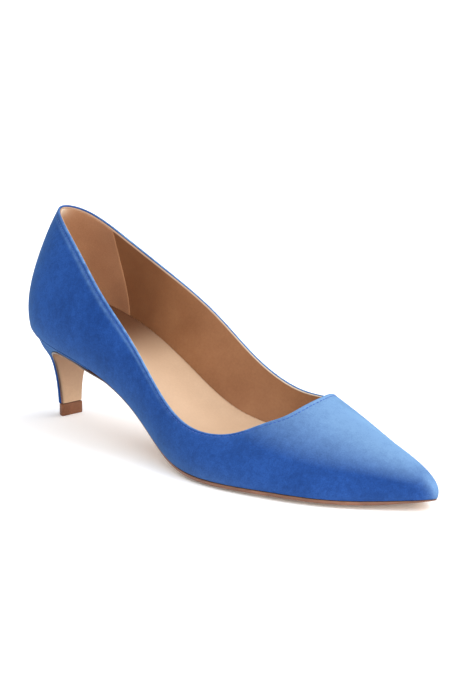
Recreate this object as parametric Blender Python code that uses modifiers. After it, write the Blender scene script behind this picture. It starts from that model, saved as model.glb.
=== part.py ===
# Pointed toe pump, the right shoe, with a covered kitten heel and a low-cut topline.
# Design frame in millimetres: x runs from the back of the heel to the toe, +y is the inner side, z is up.
import bmesh
import bpy
import numpy as np

MM = 0.001

# Driving dimensions
LENGTH = 250.0          # back of the heel curve to the toe tip
BALL_WIDTH = 70.0       # across the ball of the foot
HEEL_HEIGHT = 46.0      # floor to the seat at the back
BACK_HEIGHT = 98.0      # floor to the topline at the back
WALL = 1.8              # suede with its lining
CLEARANCE = 0.3         # between pieces that meet

# Mesh density
AROUND = 104
UP_WALL = 11
FOOT_CROWDING = 1.3     # rows of the wall lie closer together near the feather line
ALONG_SOLE = 34
TOE_CROWDING = 1.5      # rows of the outsole lie closer together near the toe
ACROSS_SOLE = 7
AROUND_HEEL = 29
OUTLINE_SAMPLES = 600   # places around the feather outline that its edges are read from
SMALL_TURN = 0.0001     # share of the way around over which a direction is measured
MERGE = 0.01            # points closer than this, in mm, are one point
SHARP_ANGLE = 40.0      # edges that turn by more degrees than this stay sharp

# Feather line, where the upper meets the sole: x in percent of LENGTH, z in percent of HEEL_HEIGHT
BOTTOM_COLUMNS = ("x", "z")
BOTTOM_PROFILE = [
    (0.0, 100.0),
    (12.0, 85.5),
    (24.0, 73.0),
    (36.0, 48.5),
    (48.0, 15.4),
    (60.0, 6.3),
    (67.0, 6.4),
    (76.0, 7.3),
    (88.0, 7.7),
    (100.0, 12.4),
]

# Wall sections of the upper, from the toe round the outer side to the back and home by the inner side.
# Each section is one cubic curve from the feather line (foot) to the topline (top). The handles lean it:
# low_out and low_up leave the foot, high_out and high_up leave the top.
# x in percent of LENGTH, y and the out handles in percent of BALL_WIDTH, z and the up handles of BACK_HEIGHT
WALL_COLUMNS = ("foot_x", "foot_y", "top_x", "top_y", "top_z", "low_out", "low_up", "high_out", "high_up")
WALL_SECTIONS = {
    "toe":              (99.0, 7.0, 71.5, 7.0, 36.5, 7.9, 12.6, -1.5, -9.3),
    "outer_tip":        (97.0, -2.7, 71.2, -5.0, 34.4, 5.8, 10.5, -1.5, -8.7),
    "outer_toe":        (92.8, -15.0, 70.2, -16.5, 31.0, 2.0, 8.5, -1.0, -6.3),
    "outer_vamp":       (84.8, -35.1, 67.4, -27.5, 27.2, 1.0, 8.0, -1.0, -3.5),
    "outer_fore":       (73.5, -49.3, 62.8, -38.0, 22.0, 1.0, 7.7, 1.0, -2.5),
    "outer_ball":       (61.4, -55.7, 56.3, -46.0, 22.0, 2.0, 6.0, 2.7, -4.3),
    "outer_waist_fore": (49.3, -48.3, 47.0, -42.0, 30.7, 3.0, 8.2, 3.0, -8.2),
    "outer_waist":      (37.7, -38.5, 37.0, -36.0, 50.8, 3.0, 10.3, 4.3, -10.2),
    "outer_seat_fore":  (24.1, -36.5, 27.4, -31.3, 68.4, 3.5, 13.7, 7.5, -13.4),
    "outer_seat":       (11.8, -33.5, 18.5, -22.6, 83.3, 3.5, 16.0, 6.3, -16.2),
    "outer_heel":       (3.4, -21.4, 10.6, -13.4, 94.9, 4.7, 17.0, 5.0, -15.5),
    "back":             (0.5, 0.5, 5.6, 0.0, 99.8, 4.1, 16.2, 6.0, -13.5),
    "inner_heel":       (3.3, 22.8, 8.1, 14.2, 97.4, 4.2, 16.0, 5.3, -13.4),
    "inner_seat":       (11.8, 32.7, 15.8, 24.6, 86.4, 4.3, 14.5, 6.0, -14.0),
    "inner_seat_fore":  (24.1, 24.3, 25.9, 30.3, 73.1, 5.7, 11.5, 4.5, -13.0),
    "inner_waist":      (37.2, 17.5, 37.3, 34.5, 57.5, 7.0, 9.2, 3.5, -12.3),
    "inner_waist_fore": (49.0, 24.0, 48.0, 37.0, 39.7, 6.5, 7.2, 3.5, -10.2),
    "inner_ball":       (61.0, 40.0, 56.7, 43.0, 29.5, 4.3, 7.0, 3.0, -8.2),
    "inner_fore":       (73.5, 43.0, 63.2, 44.2, 28.8, 2.0, 8.5, 0.5, -4.6),
    "inner_vamp":       (84.5, 34.7, 67.3, 37.0, 30.8, 1.3, 9.9, -1.0, -4.0),
    "inner_toe":        (93.5, 21.5, 69.3, 26.5, 35.0, 2.0, 10.3, -1.5, -8.3),
    "inner_tip":        (97.2, 13.3, 70.7, 16.0, 36.5, 4.5, 12.0, -1.5, -9.2),
}
TOP_REACH = 0.42        # share of the way from top to foot that the top handle spans in plan

# Insole board with its padding, thick from the heel to the ball: x in percent of LENGTH, thickness and the
# inset of its top inside the feather line in mm
INSOLE_COLUMNS = ("x", "thickness", "top_inset")
INSOLE_SHAPE = [
    (0.0, 6.8, 2.2),
    (50.0, 6.8, 2.2),
    (62.0, 5.4, 2.4),
    (76.0, 3.0, 2.9),
    (100.0, 2.2, 3.0),
]
INSOLE_INSET = 3.0      # of its bottom inside the feather line

# Outsole: x in percent of LENGTH; thickness at the edge, the step out past the feather line,
# and the belly, how far the middle of the bottom hangs below its edges, in mm
OUTSOLE_COLUMNS = ("x", "thickness", "step_out", "belly")
OUTSOLE_SHAPE = [
    (20.0, 0.9, -0.6, 0.0),
    (46.0, 1.0, -0.5, 0.4),
    (58.0, 1.5, 0.3, 1.4),
    (80.0, 1.5, 0.3, 1.4),
    (92.0, 1.5, 0.2, 0.6),
    (97.0, 1.2, 0.0, 0.2),
    (99.0, 0.7, -0.3, 0.0),
]
BELLY_FLATNESS = 3.0    # a higher power is flatter in the middle and turns up closer to the edge
FLAP_INSET = 0.15       # of the breast flap inside the heel's breast edges

# Heel sections from the seat down to the tip, each lying between its breast edge and its back, in mm.
# half_width is taken at the breast edge, and roundness blends the seat's outline into a half ellipse.
HEEL_COLUMNS = ("breast_x", "breast_z", "back_x", "back_z", "half_width", "roundness")
HEEL_SECTIONS = {
    "seat":      (62.5, 32.2, 1.6, 45.3, 22.2, 0.00),
    "seat_rim":  (61.8, 32.0, 3.2, 43.6, 22.2, 0.08),
    "overhang":  (50.0, 34.3, 7.3, 40.2, 21.6, 0.40),
    "underside": (38.0, 35.6, 10.7, 36.8, 20.6, 0.65),
    "shoulder":  (28.2, 33.8, 13.0, 33.4, 17.4, 0.88),
    "neck":      (22.4, 29.6, 14.4, 29.6, 12.6, 0.96),
    "stem_top":  (20.6, 24.5, 15.2, 24.5, 9.6, 1.00),
    "stem":      (20.0, 18.0, 15.5, 18.0, 7.6, 1.00),
    "stem_low":  (20.0, 12.0, 15.5, 12.0, 6.6, 1.00),
    "tip":       (20.2, 6.0, 15.4, 6.0, 6.0, 1.00),
}
HEEL_MIDDLE = -0.9      # y of the heel's middle line
SEAT_INSET = 0.3        # of the heel's seat inside the feather line
SEAT_FULLNESS = 0.9     # under 1, the seat's places crowd towards its back
SOLE_BREAK = 67.0       # x where the sole leaves the feather line to run down the heel breast

# Top piece, under the heel and the sole's breast flap
TOP_PIECE_HEIGHT = 5.7
TOP_PIECE_BREAST = 21.6
TOP_PIECE_BACK = 15.6
TOP_PIECE_HALF_WIDTH = 6.1

COLOURS = {
    "upper": ((0.035, 0.10, 0.36, 1.0), 0.9),
    "insole": ((0.68, 0.47, 0.29, 1.0), 0.6),
    "outsole": ((0.55, 0.34, 0.20, 1.0), 0.5),
    "heel": ((0.03, 0.08, 0.28, 1.0), 0.9),
    "top_piece": ((0.16, 0.075, 0.045, 1.0), 0.55),
}


def spline_segments(step, bend_at_knots, values, next_values, next_bends, ahead, behind):
    """Cubic between two knots from their values and second derivatives."""
    cubic = (bend_at_knots * behind**3 + next_bends * ahead**3) / (6.0 * step)
    start = (values / step - bend_at_knots * step / 6.0) * behind
    end = (next_values / step - next_bends * step / 6.0) * ahead
    return cubic + start + end


def open_spline(knots, values, at):
    """Natural cubic spline through the knots."""
    knots = np.asarray(knots, float)
    values = np.asarray(values, float)
    count = len(knots)
    steps = np.diff(knots)
    slopes = np.diff(values) / steps
    system = np.eye(count)
    right = np.zeros(count)
    for i in range(1, count - 1):
        system[i, i - 1:i + 2] = (steps[i - 1], 2.0 * (steps[i - 1] + steps[i]), steps[i])
        right[i] = 6.0 * (slopes[i] - slopes[i - 1])
    bends = np.linalg.solve(system, right)
    at = np.clip(at, knots[0], knots[-1])
    i = np.clip(np.searchsorted(knots, at, side="right") - 1, 0, count - 2)
    ahead = at - knots[i]
    return spline_segments(steps[i], bends[i], values[i], values[i + 1], bends[i + 1], ahead, steps[i] - ahead)


def closed_spline(knots, values, at):
    """Periodic cubic spline of period 1 through rows of values."""
    count = len(knots)
    steps = np.append(np.diff(knots), 1.0 - knots[-1] + knots[0])
    system = np.zeros((count, count))
    right = np.zeros_like(values)
    for i in range(count):
        before = (i - 1) % count
        after = (i + 1) % count
        system[i, before] += steps[before]
        system[i, i] += 2.0 * (steps[before] + steps[i])
        system[i, after] += steps[i]
        right[i] = 6.0 * ((values[after] - values[i]) / steps[i] - (values[i] - values[before]) / steps[before])
    bends = np.linalg.solve(system, right)
    at = np.mod(at - knots[0], 1.0) + knots[0]
    i = np.searchsorted(knots, at, side="right") - 1
    after = (i + 1) % count
    ahead = (at - knots[i])[:, None]
    step = steps[i][:, None]
    return spline_segments(step, bends[i], values[i], values[after], bends[after], ahead, step - ahead)


def columns(names, rows):
    """A table's rows as one array for each named column."""
    return {name: np.array(column) for name, column in zip(names, zip(*rows))}


def feather_height(x):
    """Height of the feather line above the floor at x."""
    profile = columns(BOTTOM_COLUMNS, BOTTOM_PROFILE)
    knots = profile["x"] * LENGTH / 100.0
    return open_spline(knots, profile["z"] * HEEL_HEIGHT / 100.0, np.asarray(x, float))


def wall_table():
    """Wall sections in millimetres, a row for each section."""
    scale_of = {"x": LENGTH, "y": BALL_WIDTH, "out": BALL_WIDTH, "z": BACK_HEIGHT, "up": BACK_HEIGHT}
    scales = [scale_of[name.split("_")[1]] / 100.0 for name in WALL_COLUMNS]
    return np.array(list(WALL_SECTIONS.values())) * scales


def wall_knots(table):
    """Place of each section around the shoe, from 0 to 1, closer together where the shoe turns."""
    column = WALL_COLUMNS.index("top_x")
    foot = table[:, :column]
    top = table[:, column:column + 3]
    foot_steps = np.linalg.norm(np.roll(foot, -1, axis=0) - foot, axis=1)
    top_steps = np.linalg.norm(np.roll(top, -1, axis=0) - top, axis=1)
    distance = np.append(0.0, np.cumsum(np.sqrt(foot_steps + top_steps)))
    return distance[:-1] / distance[-1]


def wall_frames(around):
    """Interpolated section values and the outward direction in plan at places around the shoe."""
    table = wall_table()
    knots = wall_knots(table)
    values = closed_spline(knots, table, around)
    foot = table[:, :2]
    along = closed_spline(knots, foot, around + SMALL_TURN) - closed_spline(knots, foot, around - SMALL_TURN)
    along /= np.linalg.norm(along, axis=1)[:, None]
    outward = np.column_stack((-along[:, 1], along[:, 0]))
    return dict(zip(WALL_COLUMNS, values.T)), outward


def wall_points(around, up):
    """Outer surface of the upper: a cubic from foot to top for each place around the shoe."""
    value, outward = wall_frames(around)
    foot = np.column_stack((value["foot_x"], value["foot_y"], feather_height(value["foot_x"])))
    top = np.column_stack((value["top_x"], value["top_y"], value["top_z"]))
    low = foot.copy()
    low[:, :2] += value["low_out"][:, None] * outward
    low[:, 2] += value["low_up"]
    high = top.copy()
    high[:, :2] += TOP_REACH * (foot - top)[:, :2] + value["high_out"][:, None] * outward
    high[:, 2] += value["high_up"]
    t = np.asarray(up)[None, :, None]
    lower = foot[:, None] * (1 - t)**3 + 3.0 * low[:, None] * t * (1 - t)**2
    return lower + 3.0 * high[:, None] * t**2 * (1 - t) + top[:, None] * t**3


def sole_edges(x, step_out):
    """Outer and inner y of the feather outline at x, stepped out by a distance for each x."""
    value, outward = wall_frames(np.linspace(0.0, 1.0, OUTLINE_SAMPLES, endpoint=False))
    foot = np.column_stack((value["foot_x"], value["foot_y"]))
    reach = np.interp(foot[:, 0], np.sort(x), np.asarray(step_out)[np.argsort(x)])
    outline = foot + reach[:, None] * outward
    back = int(np.argmin(outline[:, 0]))
    toe = int(np.argmax(outline[:, 0]))
    ring = np.roll(outline, -toe, axis=0)
    back = (back - toe) % len(ring)
    outer = ring[:back + 1][::-1]
    inner = np.vstack((ring[back:], ring[:1]))
    return np.interp(x, outer[:, 0], outer[:, 1]), np.interp(x, inner[:, 0], inner[:, 1])


def plan_reach(step_out):
    """Smallest and largest x of the feather outline stepped out by one distance."""
    value, outward = wall_frames(np.linspace(0.0, 1.0, OUTLINE_SAMPLES, endpoint=False))
    x = value["foot_x"] + step_out * outward[:, 0]
    return x.min(), x.max()


def eased(count):
    """Shares from 0 to 1, closer together near both ends."""
    return 0.5 - 0.5 * np.cos(np.linspace(0.0, np.pi, count))


def plain_material(name):
    colour, roughness = COLOURS[name]
    material = bpy.data.materials.new(name)
    material.use_nodes = True
    shader = material.node_tree.nodes["Principled BSDF"]
    shader.inputs["Base Color"].default_value = colour
    shader.inputs["Roughness"].default_value = roughness
    shader.inputs["Metallic"].default_value = 0.0
    return material


def make_object(name, points, faces):
    """Mesh object from points in millimetres, its coincident points merged and its faces turned outward."""
    mesh = bpy.data.meshes.new(name)
    mesh.from_pydata((np.asarray(points) * MM).tolist(), [], faces)
    shape = bmesh.new()
    shape.from_mesh(mesh)
    bmesh.ops.remove_doubles(shape, verts=shape.verts, dist=MERGE * MM)
    bmesh.ops.dissolve_degenerate(shape, edges=shape.edges, dist=MERGE * MM / 2.0)
    bmesh.ops.recalc_face_normals(shape, faces=shape.faces)
    shape.to_mesh(mesh)
    shape.free()
    mesh.shade_smooth()
    mesh.set_sharp_from_angle(angle=np.radians(SHARP_ANGLE))
    mesh.materials.append(plain_material(name))
    part = bpy.data.objects.new(name, mesh)
    parts.objects.link(part)
    part.parent = root
    return part


def slab(name, top, bottom):
    """Closed solid between two grids of points of the same shape."""
    rows, columns = top.shape[:2]
    count = rows * columns
    faces = []
    for i in range(rows - 1):
        for j in range(columns - 1):
            corner = i * columns + j
            quad = (corner, corner + 1, corner + columns + 1, corner + columns)
            faces.append(quad)
            faces.append(tuple(count + k for k in reversed(quad)))
    border = list(range(columns))
    border += [i * columns + columns - 1 for i in range(1, rows)]
    border += [(rows - 1) * columns + j for j in range(columns - 2, -1, -1)]
    border += [i * columns for i in range(rows - 2, 0, -1)]
    for a, b in zip(border, border[1:] + border[:1]):
        faces.append((b, a, count + a, count + b))
    return make_object(name, np.vstack((top.reshape(-1, 3), bottom.reshape(-1, 3))), faces)


def loft(name, rings):
    """Closed solid through rings of points, each ring open across its straight front and capped at both ends."""
    sections, count = rings.shape[:2]
    faces = []
    for i in range(sections - 1):
        for j in range(count):
            after = (j + 1) % count
            faces.append((i * count + j, i * count + after, (i + 1) * count + after, (i + 1) * count + j))
    for start in (0, (sections - 1) * count):
        for j in range(count // 2):
            far = count - 1 - j
            faces.append((start + j, start + j + 1, start + far - 1, start + far))
    faces = [tuple(dict.fromkeys(face)) for face in faces]
    return make_object(name, rings.reshape(-1, 3), faces)


def across(outer, inner, x, z):
    """Grid of points from the outer edge to the inner edge of a sole, a row for each x."""
    share = np.linspace(0.0, 1.0, ACROSS_SOLE)
    y = outer[:, None] + (inner - outer)[:, None] * share
    return np.stack((np.broadcast_to(x[:, None], y.shape), y, np.broadcast_to(z[:, None], y.shape)), axis=-1)


def build_upper():
    around = np.linspace(0.0, 1.0, AROUND, endpoint=False)
    points = wall_points(around, np.linspace(0.0, 1.0, UP_WALL) ** FOOT_CROWDING)
    faces = []
    for i in range(AROUND):
        after = (i + 1) % AROUND
        for j in range(UP_WALL - 1):
            faces.append((i * UP_WALL + j, i * UP_WALL + j + 1, after * UP_WALL + j + 1, after * UP_WALL + j))
    upper = make_object("upper", points.reshape(-1, 3), faces)
    wall = upper.modifiers.new("wall", "SOLIDIFY")
    wall.thickness = WALL * MM
    wall.offset = -1.0
    wall.use_even_offset = True
    return upper


def insole_face(back, toe, inset, height):
    """Grid across the insole between two ends, at an inset and a height above the feather line for each x."""
    x = back + (toe - back) * eased(ALONG_SOLE)
    outer, inner = sole_edges(x, -inset(x))
    outer[[0, -1]] = inner[[0, -1]] = 0.5 * (outer + inner)[[0, -1]]
    return across(outer, inner, x, feather_height(x) + height(x))


def build_insole():
    shape = columns(INSOLE_COLUMNS, INSOLE_SHAPE)
    knots = shape["x"] * LENGTH / 100.0
    back, toe = plan_reach(-INSOLE_INSET)
    bottom = insole_face(back, toe, lambda x: np.full(len(x), INSOLE_INSET), np.zeros_like)
    top_back = plan_reach(-shape["top_inset"][0])[0]
    top_toe = plan_reach(-shape["top_inset"][-1])[1]
    top = insole_face(top_back, top_toe, lambda x: np.interp(x, knots, shape["top_inset"]),
                      lambda x: np.interp(x, knots, shape["thickness"]))
    return slab("insole", top, bottom)


def build_outsole():
    sole = columns(OUTSOLE_COLUMNS, OUTSOLE_SHAPE)
    sole_x = sole["x"] * LENGTH / 100.0
    toe = plan_reach(sole["step_out"][-1])[1]
    x = toe + (SOLE_BREAK - toe) * np.linspace(0.0, 1.0, ALONG_SOLE) ** TOE_CROWDING
    outer, inner = sole_edges(x, np.interp(x, sole_x, sole["step_out"]))
    outer[0] = inner[0] = 0.5 * (outer[0] + inner[0])
    z = feather_height(x) - CLEARANCE

    # The breast flap follows the heel's breast edge, a clearance away from it
    heel = columns(HEEL_COLUMNS, HEEL_SECTIONS.values())
    path_x = heel["breast_x"]
    path_z = heel["breast_z"]
    lean = np.column_stack((np.gradient(path_x), np.gradient(path_z)))
    lean /= np.linalg.norm(lean, axis=1)[:, None]
    flap = slice(1, None)
    flap_x = (path_x - lean[:, 1] * CLEARANCE)[flap]
    flap_z = (path_z + lean[:, 0] * CLEARANCE)[flap]
    flap_z[-1] = path_z[-1]
    corners = heel_rings()[flap]
    x = np.append(x, flap_x)
    z = np.append(z, flap_z)
    outer = np.append(outer, corners[:, 0, 1] + FLAP_INSET)
    inner = np.append(inner, corners[:, -1, 1] - FLAP_INSET)

    run = np.column_stack((np.gradient(x), np.gradient(z)))
    run /= np.linalg.norm(run, axis=1)[:, None]
    thickness = np.interp(x, sole_x, sole["thickness"])
    top = across(outer, inner, x, z)
    bottom_x = x - run[:, 1] * thickness
    bottom_z = z + run[:, 0] * thickness
    bottom_z[-1] = z[-1]
    bottom_x[0] = x[0]
    bottom = across(outer, inner, bottom_x, bottom_z)

    # The bottom bellies down between its edges and is worn flat where it meets the floor
    belly = np.interp(x, sole_x, sole["belly"])
    belly[0] = 0.0
    rise = np.abs(np.linspace(-1.0, 1.0, ACROSS_SOLE)) ** BELLY_FLATNESS
    bottom[..., 2] -= belly[:, None] * (1.0 - rise)
    bottom[..., 2] = np.maximum(bottom[..., 2], 0.0)
    return slab("outsole", top, bottom)


def heel_rings():
    """Rings of the heel from the outer breast corner round the back to the inner breast corner."""
    heel = columns(HEEL_COLUMNS, HEEL_SECTIONS.values())
    turn = np.linspace(0.0, 1.0, AROUND_HEEL)
    round_depth = np.sin(np.pi * turn)
    round_side = -np.cos(np.pi * turn)

    # Seat outline: the feather line behind the breast, as depth behind the breast and y over the half width
    seat_x = heel["breast_x"][0]
    seat_back = heel["back_x"][0]
    depth = round_depth ** SEAT_FULLNESS
    x = seat_x + (seat_back - seat_x) * depth
    outer, inner = sole_edges(x, np.full(AROUND_HEEL, -SEAT_INSET))
    seat_y = np.where(turn < 0.5, outer, inner)
    seat_y[AROUND_HEEL // 2] = 0.5 * (outer + inner)[AROUND_HEEL // 2]
    seat_side = (seat_y - HEEL_MIDDLE) / heel["half_width"][0]
    seat_line = feather_height(x) - CLEARANCE
    seat_plane = heel["breast_z"][0] + (heel["back_z"][0] - heel["breast_z"][0]) * depth
    rings = []
    for i, share in enumerate(heel["roundness"]):
        ring_depth = depth + (round_depth - depth) * share
        ring_side = seat_side + (round_side - seat_side) * share
        x = heel["breast_x"][i] + (heel["back_x"][i] - heel["breast_x"][i]) * ring_depth
        y = HEEL_MIDDLE + heel["half_width"][i] * ring_side
        z = heel["breast_z"][i] + (heel["back_z"][i] - heel["breast_z"][i]) * ring_depth
        z = z + (1.0 - share) * (seat_line - seat_plane)
        rings.append(np.column_stack((x, y, z)))
    return np.array(rings)


def build_heel():
    return loft("heel", heel_rings())


def build_top_piece():
    turn = np.linspace(0.0, np.pi, AROUND_HEEL)
    x = TOP_PIECE_BREAST + (TOP_PIECE_BACK - TOP_PIECE_BREAST) * np.sin(turn)
    y = HEEL_MIDDLE - TOP_PIECE_HALF_WIDTH * np.cos(turn)
    rings = [np.column_stack((x, y, np.full(AROUND_HEEL, z))) for z in (TOP_PIECE_HEIGHT, 0.0)]
    return loft("top_piece", np.array(rings))


def stand_on_origin():
    """Moves the shoe so that the origin is at the bottom centre of its box."""
    bpy.context.view_layer.update()
    seen = bpy.context.evaluated_depsgraph_get()
    corners = [np.array(corner) for part in parts.objects if part.type == "MESH"
               for corner in part.evaluated_get(seen).bound_box]
    low = np.min(corners, axis=0)
    high = np.max(corners, axis=0)
    root.location = (-(low[0] + high[0]) / 2.0, -(low[1] + high[1]) / 2.0, -low[2])
    bpy.context.view_layer.update()


for old in list(bpy.data.objects):
    bpy.data.objects.remove(old)
parts = bpy.data.collections.new("pointed_toe_pump")
bpy.context.scene.collection.children.link(parts)
root = bpy.data.objects.new("pump_root", None)
parts.objects.link(root)

build_upper()
build_insole()
build_outsole()
build_heel()
build_top_piece()
stand_on_origin()
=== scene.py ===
# Looks of the pointed toe pump: suede, lining, sock, stitching, leather sole and covered heel.
# Shapes are worked out in the shoe's own frame in mm: x from the heel back to the toe, +y inner side, z up.
import bpy
import numpy as np
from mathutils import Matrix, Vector


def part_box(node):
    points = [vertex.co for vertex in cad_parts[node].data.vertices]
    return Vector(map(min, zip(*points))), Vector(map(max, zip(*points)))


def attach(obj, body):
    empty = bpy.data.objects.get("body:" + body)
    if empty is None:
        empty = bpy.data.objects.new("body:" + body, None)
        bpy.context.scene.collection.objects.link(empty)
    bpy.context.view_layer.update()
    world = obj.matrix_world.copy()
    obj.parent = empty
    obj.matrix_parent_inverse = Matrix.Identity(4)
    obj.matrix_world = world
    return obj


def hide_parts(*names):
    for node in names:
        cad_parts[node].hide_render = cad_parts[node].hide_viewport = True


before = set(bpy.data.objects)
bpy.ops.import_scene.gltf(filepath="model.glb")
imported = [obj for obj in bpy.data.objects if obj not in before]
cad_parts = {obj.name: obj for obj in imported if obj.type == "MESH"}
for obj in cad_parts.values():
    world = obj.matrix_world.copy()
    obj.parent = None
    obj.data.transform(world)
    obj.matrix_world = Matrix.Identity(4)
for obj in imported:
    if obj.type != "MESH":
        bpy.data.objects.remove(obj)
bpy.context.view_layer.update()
mm = 0.001

# gap lies between pieces that meet; topReach is how far a wall section's upper handle leans to its foot
shoe = dict(length=250.0, ballWidth=70.0, heelHeight=46.0, backHeight=98.0, heelMiddle=-0.9, gap=0.3,
            topReach=0.42)

# feather line, where the upper meets the sole: x in percent of length, z in percent of heelHeight
featherLine = dict(
    x=(0.0, 12.0, 24.0, 36.0, 48.0, 60.0, 67.0, 76.0, 88.0, 100.0),
    z=(100.0, 85.5, 73.0, 48.5, 15.4, 6.3, 6.4, 7.3, 7.7, 12.4),
)

# wall sections, toe round the outer side to the back and home by the inner side, each a cubic from foot to
# top; x in percent of length, y and out of ballWidth, z and up of backHeight
wallColumns = dict(footX="length", footY="ballWidth", topX="length", topY="ballWidth", topZ="backHeight",
                   lowOut="ballWidth", lowUp="backHeight", highOut="ballWidth", highUp="backHeight")
wallSections = dict(
    toe=(99.0, 7.0, 71.5, 7.0, 36.5, 7.9, 12.6, -1.5, -9.3),
    outerTip=(97.0, -2.7, 71.2, -5.0, 34.4, 5.8, 10.5, -1.5, -8.7),
    outerToe=(92.8, -15.0, 70.2, -16.5, 31.0, 2.0, 8.5, -1.0, -6.3),
    outerVamp=(84.8, -35.1, 67.4, -27.5, 27.2, 1.0, 8.0, -1.0, -3.5),
    outerFore=(73.5, -49.3, 62.8, -38.0, 22.0, 1.0, 7.7, 1.0, -2.5),
    outerBall=(61.4, -55.7, 56.3, -46.0, 22.0, 2.0, 6.0, 2.7, -4.3),
    outerWaistFore=(49.3, -48.3, 47.0, -42.0, 30.7, 3.0, 8.2, 3.0, -8.2),
    outerWaist=(37.7, -38.5, 37.0, -36.0, 50.8, 3.0, 10.3, 4.3, -10.2),
    outerSeatFore=(24.1, -36.5, 27.4, -31.3, 68.4, 3.5, 13.7, 7.5, -13.4),
    outerSeat=(11.8, -33.5, 18.5, -22.6, 83.3, 3.5, 16.0, 6.3, -16.2),
    outerHeel=(3.4, -21.4, 10.6, -13.4, 94.9, 4.7, 17.0, 5.0, -15.5),
    back=(0.5, 0.5, 5.6, 0.0, 99.8, 4.1, 16.2, 6.0, -13.5),
    innerHeel=(3.3, 22.8, 8.1, 14.2, 97.4, 4.2, 16.0, 5.3, -13.4),
    innerSeat=(11.8, 32.7, 15.8, 24.6, 86.4, 4.3, 14.5, 6.0, -14.0),
    innerSeatFore=(24.1, 24.3, 25.9, 30.3, 73.1, 5.7, 11.5, 4.5, -13.0),
    innerWaist=(37.2, 17.5, 37.3, 34.5, 57.5, 7.0, 9.2, 3.5, -12.3),
    innerWaistFore=(49.0, 24.0, 48.0, 37.0, 39.7, 6.5, 7.2, 3.5, -10.2),
    innerBall=(61.0, 40.0, 56.7, 43.0, 29.5, 4.3, 7.0, 3.0, -8.2),
    innerFore=(73.5, 43.0, 63.2, 44.2, 28.8, 2.0, 8.5, 0.5, -4.6),
    innerVamp=(84.5, 34.7, 67.3, 37.0, 30.8, 1.3, 9.9, -1.0, -4.0),
    innerToe=(93.5, 21.5, 69.3, 26.5, 35.0, 2.0, 10.3, -1.5, -8.3),
    innerTip=(97.2, 13.3, 70.7, 16.0, 36.5, 4.5, 12.0, -1.5, -9.2),
)

topPiece = dict(
    height=5.7, breast=21.6, back=15.6, halfWidth=6.1, around=49, front=11,
    edgeRound=0.45, edgeRows=5, sideRows=3,
    shades=((0.140, 0.048, 0.018), (0.190, 0.068, 0.027), (0.245, 0.092, 0.038)),
)

# the shoe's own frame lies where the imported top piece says
packedLow = np.array(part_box("top_piece")[0]) / mm
shoeOrigin = packedLow - (topPiece["back"], shoe["heelMiddle"] - topPiece["halfWidth"], 0.0)


# Curves

# cubic between two knots from their values and second derivatives
def cubicBetween(step, first, last, firstBend, lastBend, ahead):
    behind = step - ahead
    bent = (firstBend * behind**3 + lastBend * ahead**3) / (6.0 * step)
    fromFirst = (first / step - firstBend * step / 6.0) * behind
    return bent + fromFirst + (last / step - lastBend * step / 6.0) * ahead


# natural cubic through the knots: second derivatives from the tridiagonal system, none at the ends
def openSpline(knots, values, at):
    knots, values = np.asarray(knots, float), np.asarray(values, float)
    steps = np.diff(knots)
    inside = np.arange(1, len(knots) - 1)
    system = np.eye(len(knots))
    system[inside, inside - 1] = steps[:-1]
    system[inside, inside] = 2.0 * (steps[:-1] + steps[1:])
    system[inside, inside + 1] = steps[1:]
    turns = np.zeros(len(knots))
    turns[1:-1] = 6.0 * np.diff(np.diff(values) / steps)
    bends = np.linalg.solve(system, turns)
    at = np.clip(at, knots[0], knots[-1])
    i = np.clip(np.searchsorted(knots, at, side="right") - 1, 0, len(knots) - 2)
    return cubicBetween(steps[i], values[i], values[i + 1], bends[i], bends[i + 1], at - knots[i])


# periodic cubic of period 1 through rows of values: the same system wrapped round
def closedSpline(knots, values, at):
    here = np.arange(len(knots))
    before, after = np.roll(here, 1), np.roll(here, -1)
    steps = np.append(np.diff(knots), 1.0 - knots[-1] + knots[0])
    system = np.zeros((len(knots), len(knots)))
    system[here, before] = steps[before]
    system[here, here] = 2.0 * (steps[before] + steps)
    system[here, after] = steps
    rise = (values[after] - values) / steps[:, None]
    bends = np.linalg.solve(system, 6.0 * (rise - rise[before]))
    at = np.mod(at - knots[0], 1.0) + knots[0]
    i = np.searchsorted(knots, at, side="right") - 1
    j = after[i]
    return cubicBetween(steps[i][:, None], values[i], values[j], bends[i], bends[j], (at - knots[i])[:, None])


# shares from 0 to 1 that crowd towards both ends
def eased(count):
    return 0.5 - 0.5 * np.cos(np.linspace(0.0, np.pi, count))


# smooth step from 0 to 1 between two values
def stepped(value, low, high):
    share = np.clip((value - low) / (high - low), 0.0, 1.0)
    return share**2 * (3.0 - 2.0 * share)


# bell curve of height 1
def bell(away, reach):
    return np.exp(-(away / reach)**2)


# Shoe wall

wallTable = np.array(list(wallSections.values())) * [shoe[size] / 100.0 for size in wallColumns.values()]


# place of each section from 0 to 1, its steps the square root of the feather and topline chords
def wallPlaces():
    foot, top = wallTable[:, :2], wallTable[:, 2:5]
    footSteps = np.linalg.norm(np.roll(foot, -1, axis=0) - foot, axis=1)
    topSteps = np.linalg.norm(np.roll(top, -1, axis=0) - top, axis=1)
    distance = np.append(0.0, np.cumsum(np.sqrt(footSteps + topSteps)))
    return distance[:-1] / distance[-1]


wallKnots = wallPlaces()


# spline through the feather line's points
def featherHeight(x):
    knots = np.array(featherLine["x"]) * shoe["length"] / 100.0
    return openSpline(knots, np.array(featherLine["z"]) * shoe["heelHeight"] / 100.0, x)


# section values around the shoe, and the outward direction in plan, square to the feather line
def wallFrame(around, turn=0.0001):
    value = dict(zip(wallColumns, closedSpline(wallKnots, wallTable, around).T))
    foot = wallTable[:, :2]
    along = closedSpline(wallKnots, foot, around + turn) - closedSpline(wallKnots, foot, around - turn)
    along /= np.linalg.norm(along, axis=1)[:, None]
    return value, np.column_stack((-along[:, 1], along[:, 0]))


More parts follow.
